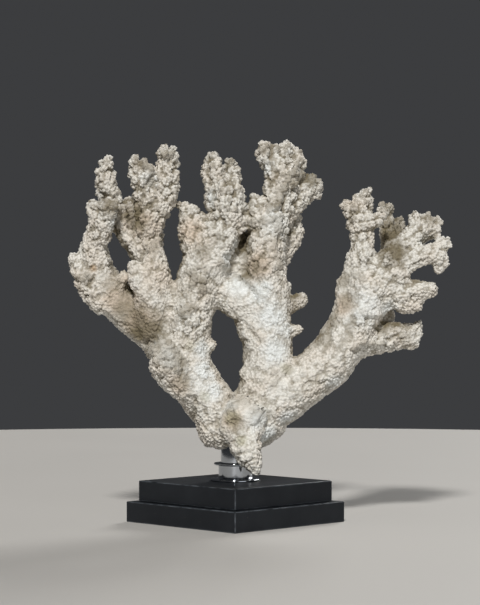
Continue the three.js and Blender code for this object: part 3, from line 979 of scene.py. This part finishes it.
def knobbly_mesh(skin, settings, material):
    """The skin with its knobs, as a plain mesh."""
    shape = bpy.data.objects.new("coral_knobbly", skin)
    bpy.context.scene.collection.objects.link(shape)
    modifier = shape.modifiers.new("Knobs", "NODES")
    modifier.node_group = knob_tree(material)
    for socket in modifier.node_group.interface.items_tree:
        if socket.in_out == "INPUT" and socket.name in (*KNOB_SIZES, "Seed"):
            setting = socket.name.lower().replace(" ", "_")
            modifier[socket.identifier] = getattr(settings, setting)
    mesh = evaluated_mesh(shape)
    bpy.data.objects.remove(shape)
    return mesh


def nearest_solids(points):
    """For each point, the number of the coral solid that lies nearest."""
    corners = []
    faces = []
    owners = []
    for number, name in enumerate(CORAL_NODES):
        mesh = NODES[name].data
        first = len(corners)
        corners.extend(vertex.co.copy() for vertex in mesh.vertices)
        for polygon in mesh.polygons:
            faces.append([first + at for at in polygon.vertices])
            owners.append(number)
    tree = BVHTree.FromPolygons(corners, faces)
    return np.array([owners[tree.find_nearest(point)[2]] for point in points.tolist()])


def face_pairs(quads):
    """Pairs of squares that share an edge."""
    sides = np.stack([quads, np.roll(quads, -1, axis=1)], axis=2).reshape(-1, 2)
    sides.sort(axis=1)
    face = np.repeat(np.arange(len(quads)), 4)
    order = np.lexsort((sides[:, 1], sides[:, 0]))
    same = np.all(sides[order[:-1]] == sides[order[1:]], axis=1)
    return np.stack([face[order[:-1]][same], face[order[1:]][same]], axis=1)


def settled_owners(owners, quads, pairs):
    """Owners without loose islands or places where two borders of a piece touch."""
    for _ in range(SETTLING_ROUNDS):
        changed = 0
        within = pairs[owners[pairs[:, 0]] == owners[pairs[:, 1]]]
        group = linked_groups(len(owners), within)
        sizes = np.bincount(group, minlength=len(owners))
        for number in range(len(CORAL_NODES)):
            groups = np.unique(group[owners == number])
            main = groups[np.argmax(sizes[groups])]
            for small in groups[groups != main]:
                inside = group == small
                across = inside[pairs[:, 0]] != inside[pairs[:, 1]]
                sides = pairs[across]
                outer = np.where(inside[sides[:, 0]], sides[:, 1], sides[:, 0])
                owners[inside] = np.bincount(owners[outer]).argmax()
                changed += 1
        corner = quads.ravel()
        face = np.repeat(np.arange(len(quads)), 4)
        order = np.argsort(corner, kind="stable")
        starts = np.searchsorted(corner[order], np.arange(corner.max() + 2))
        crossing = pairs[owners[pairs[:, 0]] != owners[pairs[:, 1]]]
        border = np.unique(quads[crossing.ravel()])
        for vertex in border:
            around = face[order[starts[vertex] : starts[vertex + 1]]]
            found, counts = np.unique(owners[around], return_counts=True)
            if len(found) < 2:
                continue
            if pinched(quads, owners, around, vertex):
                owners[around] = found[np.argmax(counts)]
                changed += 1
        if not changed:
            return owners
    raise RuntimeError("the coral's pieces did not settle")


def pinched(quads, owners, around, vertex):
    """Whether one owner's squares round a vertex form more than one run."""
    for owner in np.unique(owners[around]):
        ends = {}
        for face in around[owners[around] == owner]:
            corners = list(quads[face])
            at = corners.index(vertex)
            for neighbour in (corners[at - 1], corners[(at + 1) % 4]):
                ends[neighbour] = ends.get(neighbour, 0) + 1
        if sum(1 for count in ends.values() if count == 1) > 2:
            return True
    return False


def capped_piece(name, mesh, points, normals, quads, chosen, attributes, material):
    """One closed piece: its own squares, and a cap inside the coral on each border."""
    own = quads[chosen]
    sides = np.stack([own, np.roll(own, -1, axis=1)], axis=2).reshape(-1, 2)
    ordered = np.sort(sides, axis=1)
    _, first, counts = np.unique(ordered, axis=0, return_index=True, return_counts=True)
    border = sides[first[counts == 1]]
    used, local = np.unique(own, return_inverse=True)
    place_of = {vertex: at for at, vertex in enumerate(used)}
    vertices = [points[used]]
    faces = [list(face) for face in local.reshape(-1, 4)]
    source = list(used)
    rim = np.unique(border)
    inner_of = {vertex: len(used) + at for at, vertex in enumerate(rim)}
    inner = points[rim] - normals[rim] * CAP_DEPTH
    vertices.append(inner)
    source.extend(rim)
    place_in_rim = {vertex: at for at, vertex in enumerate(rim)}
    pairs = np.array([[place_in_rim[a], place_in_rim[b]] for a, b in border])
    group = linked_groups(len(rim), pairs)
    middle_of = {}
    middles = []
    for number in np.unique(group):
        middle_of[number] = len(used) + len(rim) + len(middles)
        middles.append(inner[group == number].mean(axis=0))
        source.append(rim[np.nonzero(group == number)[0][0]])
    vertices.append(np.array(middles))
    sharp = []
    for a, b in border:
        faces.append([place_of[b], place_of[a], inner_of[a], inner_of[b]])
        faces.append([inner_of[b], inner_of[a], middle_of[group[place_in_rim[a]]]])
        sharp.append(tuple(sorted((place_of[a], place_of[b]))))
    made = bpy.data.meshes.new(name)
    made.from_pydata(np.vstack(vertices).tolist(), [], faces)
    made.polygons.foreach_set("use_smooth", np.ones(len(faces), bool))
    sharp = set(sharp)
    marks = np.array([tuple(sorted(edge)) in sharp for edge in edges_of(made).tolist()])
    made.attributes.new("sharp_edge", "BOOLEAN", "EDGE").data.foreach_set("value", marks)
    for key, values in attributes.items():
        set_attribute(made, key, values[source])
    made.materials.append(material)
    made.validate()
    return made


def finished(name, mesh, slot, *nodes):
    """A piece of the object, riding on the body and standing for its solids."""
    piece = bpy.data.objects.new(name, mesh)
    bpy.context.scene.collection.objects.link(piece)
    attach(piece, BODY)
    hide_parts(*nodes)


class OBJECT_OT_coral(bpy.types.Operator):
    """Grow the coral's knobbly skin over its solids and cut it into its pieces"""

    bl_idname = "object.branching_coral"
    bl_label = "Coral"

    def execute(self, context):
        settings = context.scene.coral_settings
        material = coral_material(settings)
        skin = plain_skin(settings.skin_step)
        coarse = quads_of(skin)
        centres = points_of(skin)[coarse].mean(axis=1)
        owners = settled_owners(nearest_solids(centres), coarse, face_pairs(coarse))
        tree = BVHTree.FromPolygons(points_of(skin).tolist(), coarse.tolist())
        set_attribute(skin, "hollow", hollowness(skin, tree))
        set_attribute(skin, "relief", relief(skin, tree))
        set_attribute(skin, "knobbly", knobbliness(points_of(skin)))
        mesh = knobbly_mesh(skin, settings, material)
        quads = quads_of(mesh)
        if len(quads) != 4 * len(coarse):
            raise RuntimeError("the fine skin does not match the plain one")
        points = points_of(mesh)
        normals = normals_of(mesh)
        fine_owners = np.repeat(owners, 4)
        attributes = {}
        for key in ("rise", "swell", "hollow", "relief"):
            values = np.empty(len(points), np.float32)
            mesh.attributes[key].data.foreach_get("value", values)
            attributes[key] = values
        for number, name in enumerate(CORAL_NODES):
            chosen = fine_owners == number
            piece = capped_piece(f"{name}_skin", mesh, points, normals, quads, chosen, attributes, material)
            finished(piece.name, piece, "coral", name)
        return {"FINISHED"}


def lacquer_material(name, settings, side, low, high):
    """Satin black lacquer, thinner on the edges of a slab of this size, where the grey also paints a
    highlight.
    """
    material, nodes, shader, place = surface(name, roughness=0.4, gloss=0.22)
    turned = nodes.add("ShaderNodeMapping", {"vector_type": "POINT"}, {"Vector": place})
    turned.inputs["Rotation"].default_value = (0, 0, -STAND_TURN)
    apart = nodes.add("ShaderNodeSeparateXYZ", inputs={0: turned.outputs[0]})
    rims = []
    for axis, middle, half in ((0, 0, side / 2), (1, 0, side / 2), (2, (low + high) / 2, (high - low) / 2)):
        off = abs(Value(nodes.tree, apart.outputs[axis]) - middle)
        rims.append(off.between(half - WEAR_AND_GLINT_BAND, half - WEAR_AND_GLINT_RIM))
    along, across, upward = rims
    edge = (along * across).most(along * upward).most(across * upward)
    patchy = noise(nodes, place, 9 * MM, detail=5.0)
    smudge = noise(nodes, place, 30 * MM, detail=4.0)
    # Wear and a painted highlight along the rims, in one grey
    worn = (edge * patchy.between(0.35, 0.62)).clamped()
    specks = nodes.value("ShaderNodeTexVoronoi", inputs={"Vector": place, "Scale": 260.0})
    speck_size = noise(nodes, place, 5 * MM, detail=1.0).between(0.56, 0.8) * 0.16
    speck = (speck_size - specks).between(0.0, 0.04) * 0.5
    stretched = nodes.vector("MULTIPLY", turned.outputs[0], (0.12, 0.12, 1.6))
    scratch = noise(nodes, stretched, 1.1 * MM, detail=2.0).between(0.7, 0.76)
    scratch = scratch * patchy.between(0.5, 0.7) * 0.3
    base = nodes.blend(smudge * 0.12, solid_colour(settings.lacquer), solid_colour(settings.worn))
    base = nodes.blend(worn * 0.75, base, solid_colour(settings.worn))
    base = nodes.blend((speck + scratch).clamped(), base, solid_colour(settings.dust))
    put(nodes.tree, shader.inputs["Base Color"], base)
    put(nodes.tree, shader.inputs["Roughness"], (0.27 + smudge * 0.25 + worn * 0.2 + speck * 0.4).clamped())
    grain = noise(nodes, place, 1.6 * MM, detail=2.0)
    bump = nodes.add("ShaderNodeBump", inputs={"Strength": 0.06, "Distance": 0.3 * MM, "Height": grain})
    put(nodes.tree, shader.inputs["Normal"], bump.outputs["Normal"])
    return material


def slab_mesh(name, side, low, high, edge_round):
    work = bmesh.new()
    bmesh.ops.create_cube(work, size=1)
    stretch = Matrix.Diagonal((side, side, high - low, 1))
    lift = Matrix.Translation((0, 0, (low + high) / 2))
    turn = Matrix.Rotation(STAND_TURN, 4, "Z")
    bmesh.ops.transform(work, matrix=turn @ lift @ stretch, verts=work.verts)
    bmesh.ops.bevel(
        work,
        geom=work.edges[:],
        offset=edge_round,
        offset_type="OFFSET",
        segments=BEVEL_STEPS,
        profile=0.5,
        affect="EDGES",
    )
    for face in work.faces:
        face.smooth = face.calc_area() < side * edge_round * 4
    bmesh.ops.recalc_face_normals(work, faces=work.faces)
    mesh = bpy.data.meshes.new(name)
    work.to_mesh(mesh)
    work.free()
    return mesh


class OBJECT_OT_slabs(bpy.types.Operator):
    """Make the stand's two black slabs, with rounded edges that show wear and a painted highlight"""

    bl_idname = "object.coral_slabs"
    bl_label = "Slabs"

    def execute(self, context):
        settings = context.scene.stand_settings
        for node in SLAB_NODES:
            low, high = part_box(node)
            cut_off = (2 * math.sqrt(2) - 2) * SLAB_CHAMFER
            side = (high.x - low.x + cut_off) * math.cos(STAND_TURN)
            mesh = slab_mesh(f"{node}_slab", side, low.z, high.z, settings.edge_round)
            mesh.materials.append(lacquer_material(f"{node}_lacquer", settings, side, low.z, high.z))
            finished(mesh.name, mesh, "black_lacquer", node)
        return {"FINISHED"}


def chrome_material(settings):
    material, nodes, shader, place = surface("polished_chrome", settings.chrome, metallic=1.0)
    smudge = noise(nodes, place, 6 * MM, detail=4.0)
    dulled = noise(nodes, place, 1.2 * MM, detail=2.0).between(0.6, 0.75)
    tone = nodes.blend(dulled * 0.12, solid_colour(settings.chrome), solid_colour(DULL_CHROME))
    put(nodes.tree, shader.inputs["Base Color"], tone)
    put(nodes.tree, shader.inputs["Roughness"], 0.04 + smudge * 0.08 + dulled * 0.08)
    return material


def rounded_section(corners, rounding):
    """A half section with its marked corners rounded: corners are (radius, height, rounded)."""
    section = []
    for at, (radius, height, is_round) in enumerate(corners):
        here = Vector((radius, height))
        if not is_round:
            section.append(here)
            continue
        before = Vector(corners[at - 1][:2]) - here
        after = Vector(corners[at + 1][:2]) - here
        start = here + before.normalized() * rounding
        end = here + after.normalized() * rounding
        for step in range(RIM_STEPS + 1):
            share = step / RIM_STEPS
            section.append((1 - share) ** 2 * start + 2 * share * (1 - share) * here + share**2 * end)
    return section


def turned_mesh(name, section, around):
    """A closed turned mesh from a half section that starts and ends on the axis."""
    rings = section[1:-1]
    vertices = [(0, 0, section[0].y)]
    for point in rings:
        for step in range(around):
            angle = 2 * math.pi * step / around
            vertices.append((point.x * math.cos(angle), point.x * math.sin(angle), point.y))
    vertices.append((0, 0, section[-1].y))
    last = len(vertices) - 1
    faces = []
    for step in range(around):
        following = (step + 1) % around
        faces.append((0, 1 + following, 1 + step))
        for ring in range(len(rings) - 1):
            low = 1 + ring * around
            high = low + around
            faces.append((low + step, low + following, high + following, high + step))
        top = 1 + (len(rings) - 1) * around
        faces.append((top + step, top + following, last))
    mesh = bpy.data.meshes.new(name)
    mesh.from_pydata(vertices, [], faces)
    mesh.polygons.foreach_set("use_smooth", [True] * len(faces))
    mesh.set_sharp_from_angle(angle=SHARP_RIM)
    return mesh


def sleeve_corners(flange, foot, top):
    """The sleeve's half section: the flange, the hollow above it, the sleeve and the ring."""
    return (
        (0, foot, False),
        (flange - 0.5 * MM, foot, False),
        (flange, foot + 0.4 * MM, False),
        (flange, foot + 1.5 * MM, True),
        (flange - 2.4 * MM, foot + 2.2 * MM, False),
        (SLEEVE_RADIUS + 1.2 * MM, foot + 2.5 * MM, True),
        (SLEEVE_RADIUS, foot + 3.6 * MM, False),
        (SLEEVE_RADIUS, top - RING_THICK - 0.8 * MM, False),
        (SLEEVE_RADIUS + 0.8 * MM, top - RING_THICK, False),
        (RING_RADIUS, top - RING_THICK, True),
        (RING_RADIUS, top, True),
        (0, top, False),
    )


def neck_corners(radius, foot, top):
    return (
        (0, foot, False),
        (radius, foot, False),
        (radius, top, True),
        (0, top, False),
    )


class OBJECT_OT_collar(bpy.types.Operator):
    """Turn the chrome sleeve with its flange and ring, and the neck above it"""

    bl_idname = "object.coral_collar"
    bl_label = "Collar"

    def execute(self, context):
        settings = context.scene.collar_settings
        material = chrome_material(settings)
        for node, shape, corners_of in (
            ("collar_sleeve", "turned", sleeve_corners),
            ("collar_neck", "tube", neck_corners),
        ):
            low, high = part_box(node)
            section = rounded_section(corners_of(high.x, low.z, high.z), settings.rim_round)
            mesh = turned_mesh(f"{node}_{shape}", section, settings.around)
            mesh.materials.append(material)
            finished(mesh.name, mesh, "chrome", node)
        return {"FINISHED"}


def floor_material(settings):
    material, nodes, shader, place = surface("pale_floor", settings.floor, roughness=0.6)
    cloudy = noise(nodes, place, 400 * MM, detail=2.0)
    put(nodes.tree, shader.inputs["Roughness"], 0.5 + cloudy * 0.2)
    return material


def studio_light(name, kind, place, size, tone, strength):
    """A soft light that looks at the object."""
    light = bpy.data.lights.new(name, kind)
    if kind == "SUN":
        light.angle = math.radians(size)
    else:
        light.size = size
    light.color = tone
    light.energy = strength
    lamp = bpy.data.objects.new(name, light)
    lamp.location = place
    lamp.rotation_euler = (Vector(LIGHTS_AIM) - Vector(place)).to_track_quat("-Z", "Y").to_euler()
    bpy.context.scene.collection.objects.link(lamp)


def round_floor(settings):
    mesh = bpy.data.meshes.new("floor")
    turns = [2 * math.pi * step / FLOOR_STEPS for step in range(FLOOR_STEPS)]
    rim = [(FLOOR_RADIUS * math.cos(turn), FLOOR_RADIUS * math.sin(turn), 0) for turn in turns]
    mesh.from_pydata(rim, [], [tuple(range(FLOOR_STEPS))])
    mesh.materials.append(floor_material(settings))
    floor = bpy.data.objects.new("floor", mesh)
    bpy.context.scene.collection.objects.link(floor)


def soft_surround(settings):
    world = bpy.data.worlds.new("soft_surround")
    world.use_nodes = True
    background = world.node_tree.nodes["Background"]
    background.inputs["Color"].default_value = solid_colour(settings.surround)
    background.inputs["Strength"].default_value = SURROUND_STRENGTH
    return world


def photo_camera():
    lens = bpy.data.cameras.new("camera")
    lens.sensor_fit = "AUTO"
    lens.sensor_width = SENSOR_LONG
    lens.lens = FOCAL_PIXELS / IMAGE_TALL * SENSOR_LONG
    lens.clip_start = NEAREST_SEEN
    lens.clip_end = FARTHEST_SEEN
    camera = bpy.data.objects.new("camera", lens)
    camera.location = CAMERA_PLACE
    down = math.atan((IMAGE_TALL / 2 - HORIZON_PIXEL) / FOCAL_PIXELS)
    camera.rotation_euler = (math.pi / 2 - down, 0, 0)
    return camera


class OBJECT_OT_stage(bpy.types.Operator):
    """Lay the floor and set the lights and the camera"""

    bl_idname = "object.coral_stage"
    bl_label = "Floor, lights and camera"

    def execute(self, context):
        settings = context.scene.stage_settings
        round_floor(settings)
        context.scene.world = soft_surround(settings)
        context.scene.view_settings.view_transform = "Standard"
        for name, kind, place, size, tone in LIGHTS:
            studio_light(name, kind, place, size, tone, getattr(settings, f"{name}_power"))
        camera = photo_camera()
        context.scene.collection.objects.link(camera)
        context.scene.camera = camera
        return {"FINISHED"}


class VIEW3D_PT_coral(bpy.types.Panel):
    """The pieces that can be built"""

    bl_label = "Branching Coral"
    bl_idname = "VIEW3D_PT_coral"
    bl_space_type = "VIEW_3D"
    bl_region_type = "UI"
    bl_category = "Coral"

    def draw(self, context):
        for operator in OPERATORS:
            self.layout.operator(operator.bl_idname)
        for _, name in SETTINGS:
            settings = getattr(context.scene, name)
            box = self.layout.box()
            for key in settings.__annotations__:
                box.prop(settings, key)


OPERATORS = (OBJECT_OT_coral, OBJECT_OT_slabs, OBJECT_OT_collar, OBJECT_OT_stage)
SETTINGS = (
    (CoralSettings, "coral_settings"),
    (StandSettings, "stand_settings"),
    (CollarSettings, "collar_settings"),
    (StageSettings, "stage_settings"),
)


def register():
    for group, name in SETTINGS:
        bpy.utils.register_class(group)
        setattr(bpy.types.Scene, name, PointerProperty(type=group))
    for operator in OPERATORS:
        bpy.utils.register_class(operator)
    bpy.utils.register_class(VIEW3D_PT_coral)


def unregister():
    bpy.utils.unregister_class(VIEW3D_PT_coral)
    for operator in reversed(OPERATORS):
        bpy.utils.unregister_class(operator)
    for group, name in reversed(SETTINGS):
        delattr(bpy.types.Scene, name)
        bpy.utils.unregister_class(group)


def main():
    register()
    bpy.ops.object.branching_coral()
    bpy.ops.object.coral_slabs()
    bpy.ops.object.coral_collar()
    bpy.ops.object.coral_stage()
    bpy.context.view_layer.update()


if __name__ == "__main__":
    main()
